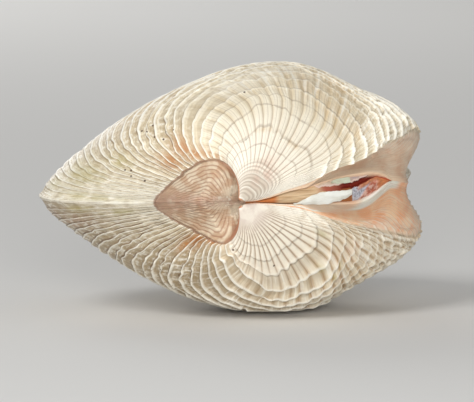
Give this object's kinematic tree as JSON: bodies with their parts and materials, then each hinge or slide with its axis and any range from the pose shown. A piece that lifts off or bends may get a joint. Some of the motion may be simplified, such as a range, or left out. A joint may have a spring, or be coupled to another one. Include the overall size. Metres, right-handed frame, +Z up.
{
  "type": "venus clam shell",
  "caption": "Closed shell of a ribbed venus clam lying on its left valve: two hollow valves with ridges and ribs, and a dried, torn ligament at the hinge.",
  "frame": {"origin": "centre of the bounding box's base, on the surface that the shell lies on", "axes": "+Z up, out of the right valve; -Y towards the hinge and beaks; +X towards the hind end; -X towards the front end with the lunule"},
  "size_m": [0.0548, 0.0542, 0.0356],
  "materials": {
    "valve": "satin",
    "ligament": "satin",
    "ligament_flake": "satin"
  },
  "bodies": {
    "root": {"right_valve": "valve", "left_valve": "valve", "ligament": "ligament", "ligament_flake_left": "ligament_flake", "ligament_flake_right": "ligament_flake"}
  },
  "joints": []
}
